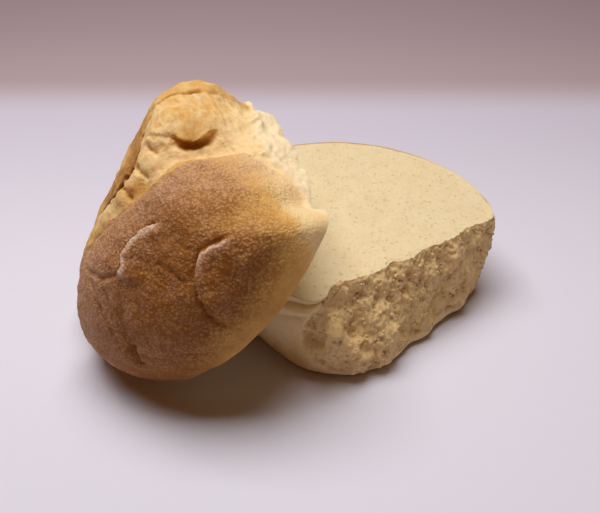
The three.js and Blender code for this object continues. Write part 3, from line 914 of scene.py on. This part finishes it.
grains = add_node(
    sowing,
    "GeometryNodeInstanceOnPoints",
    {
        "Points": points.outputs["Points"],
        "Instance": lumpy.outputs[0],
        "Rotation": turned.outputs[0],
        "Scale": scale.outputs[0],
    },
)
real = add_node(sowing, "GeometryNodeRealizeInstances", {"Geometry": grains.outputs[0]})
dressing = {"Geometry": real.outputs[0], "Material": sown_in["Material"]}
dressed = add_node(sowing, "GeometryNodeSetMaterial", dressing)
sowing.links.new(dressed.outputs[0], sowing.nodes.new("NodeGroupOutput").inputs[0])
sowing_sockets = {}
for item in sowing.interface.items_tree:
    if item.in_out == "INPUT":
        sowing_sockets[item.name] = item.identifier


def sow(name, half, settings):
    """Sows grains over one half and leaves them as one plain mesh."""
    carrier = bpy.data.objects.new(name + "_carrier", half.data.copy())
    bpy.context.scene.collection.objects.link(carrier)
    modifier = carrier.modifiers.new("sown", "NODES")
    modifier.node_group = sowing
    for key, value in settings.items():
        modifier[sowing_sockets[key]] = value
    carrier.update_tag()
    graph = bpy.context.evaluated_depsgraph_get()
    plain = bpy.data.meshes.new_from_object(carrier.evaluated_get(graph))
    plain.name = name
    carrier.modifiers.remove(modifier)
    bpy.data.objects.remove(carrier)
    plain.polygons.foreach_set("use_smooth", np.ones(len(plain.polygons), bool))
    plain.materials.clear()
    plain.materials.append(settings["Material"])
    plain.polygons.foreach_set("material_index", np.zeros(len(plain.polygons), np.int32))
    grains_object = bpy.data.objects.new(name, plain)
    bpy.context.scene.collection.objects.link(grains_object)
    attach(grains_object, "root")


def grain_material(name, colour):
    """A dull grain, a little darker in places."""
    material = bpy.data.materials.new(name)
    material.use_nodes = True
    tree = material.node_tree
    shader = tree.nodes["Principled BSDF"]
    shader.inputs["Roughness"].default_value = 0.9
    shader.inputs["Specular IOR Level"].default_value = 0.2
    tone = noise(tree, add_node(tree, "ShaderNodeTexCoord").outputs["Object"], 300.0, 2.0)
    darker = tuple(0.78 * c for c in colour[:3]) + (1,)
    toned = mixed(tree, ramp(tree, tone.outputs["Fac"], 0.35, 0.65), darker, colour)
    tree.links.new(toned, shader.inputs["Base Color"])
    return material


sow(
    "lower_half_loose_crumbs",
    lower_half,
    {
        "Where": "loose",
        "Least": 0.6,
        "Per Square Metre": 120000.0,
        "Smallest": 0.0002,
        "Largest": 0.0007,
        "Flatness": 0.75,
        "Seed": 3,
        "Material": grain_material("loose_crumb_lower", (0.80, 0.60, 0.31, 1)),
    },
)
sow(
    "flour_specks",
    upper_half,
    {
        "Where": "flour",
        "Least": 0.3,
        "Per Square Metre": 220000.0,
        "Smallest": 0.00006,
        "Largest": 0.00013,
        "Flatness": 0.5,
        "Seed": 9,
        "Material": grain_material("flour_speck", (0.58, 0.345, 0.18, 1)),
    },
)

# ---------------------------------------------------------------------------------------------------
# The table: a round pale matt sheet that the roll lies on. It darkens towards the back, and its far side
# is a darker greyer mauve: painted shade. It only sets the stage and is no part of the roll. Its lengths are
# in metres.

sheet_radius = 0.62
sheet_sides = 96
sheet_mesh = bpy.data.meshes.new("table_sheet")
sheet_turns = np.linspace(0, 2 * np.pi, sheet_sides, endpoint=False)
sheet_rim = [(sheet_radius * float(np.cos(a)), sheet_radius * float(np.sin(a)), 0.0) for a in sheet_turns]
sheet_mesh.from_pydata(sheet_rim, [], [tuple(range(sheet_sides))])
table_sheet = bpy.data.objects.new("table_sheet", sheet_mesh)
bpy.context.scene.collection.objects.link(table_sheet)
sheet_paint = bpy.data.materials.new("pale_sheet")
sheet_paint.use_nodes = True
sheet_tree = sheet_paint.node_tree
sheet_shader = sheet_tree.nodes["Principled BSDF"]
sheet_place = add_node(sheet_tree, "ShaderNodeTexCoord").outputs["Object"]
sheet_y = add_node(sheet_tree, "ShaderNodeSeparateXYZ", {0: sheet_place}).outputs["Y"]
# The far colours are darker: painted shade for the light falling off towards the back and for the backdrop's
# unlit rise.
pale_near, pale_far = (0.71, 0.70, 0.795, 1), (0.61, 0.575, 0.68, 1)
mauve_near, mauve_far = (0.455, 0.355, 0.375, 1), (0.41, 0.315, 0.355, 1)
near_strip = mixed(sheet_tree, ramp(sheet_tree, sheet_y, -0.02, 0.2), pale_near, pale_far)
far_shade_strip = mixed(sheet_tree, ramp(sheet_tree, sheet_y, 0.2, 0.34), mauve_near, mauve_far)
sheet_colour = mixed(sheet_tree, ramp(sheet_tree, sheet_y, 0.172, 0.228), near_strip, far_shade_strip)
sheet_tree.links.new(sheet_colour, sheet_shader.inputs["Base Color"])
sheet_shader.inputs["Roughness"].default_value = 0.85
sheet_shader.inputs["Specular IOR Level"].default_value = 0.2
sheet_mesh.materials.append(sheet_paint)

# Soft daylight from above and a little behind, with a weak warm fill from the room.
window = bpy.data.lights.new("overhead_window", "AREA")
window.shape = "RECTANGLE"
window.size = 0.6
window.size_y = 0.45
window.energy = 6.4
window.color = (1.0, 0.99, 0.985)
window_object = bpy.data.objects.new("overhead_window", window)
window_object.location = (-0.10, 0.06, 0.75)
window_object.rotation_euler = (np.radians(-5), np.radians(-8), 0)
bpy.context.scene.collection.objects.link(window_object)
room = bpy.data.worlds.new("room")
room.use_nodes = True
warm_fill = room.node_tree.nodes["Background"]
warm_fill.inputs[0].default_value = (1.0, 0.38, 0.07, 1)
warm_fill.inputs[1].default_value = 0.095
behind = add_node(room.node_tree, "ShaderNodeBackground", {0: (0.40, 0.33, 0.36, 1), 1: 1.0}).outputs[0]
direct_sight = add_node(room.node_tree, "ShaderNodeLightPath").outputs["Is Camera Ray"]
seen_or_lit = add_node(
    room.node_tree, "ShaderNodeMixShader", {0: direct_sight, 1: warm_fill.outputs[0], 2: behind}
)
room.node_tree.links.new(seen_or_lit.outputs[0], room.node_tree.nodes["World Output"].inputs[0])
bpy.context.scene.world = room
bpy.context.scene.view_settings.view_transform = "Standard"

camera = bpy.data.cameras.new("camera")
camera.sensor_width = 36
camera.lens = 45.6
camera.clip_start = 0.01
camera_object = bpy.data.objects.new("camera", camera)
camera_object.location = (0.0035, -0.2312, 0.1786)
camera_object.rotation_euler = (np.radians(55.5), 0, 0)
bpy.context.scene.collection.objects.link(camera_object)
bpy.context.scene.camera = camera_object
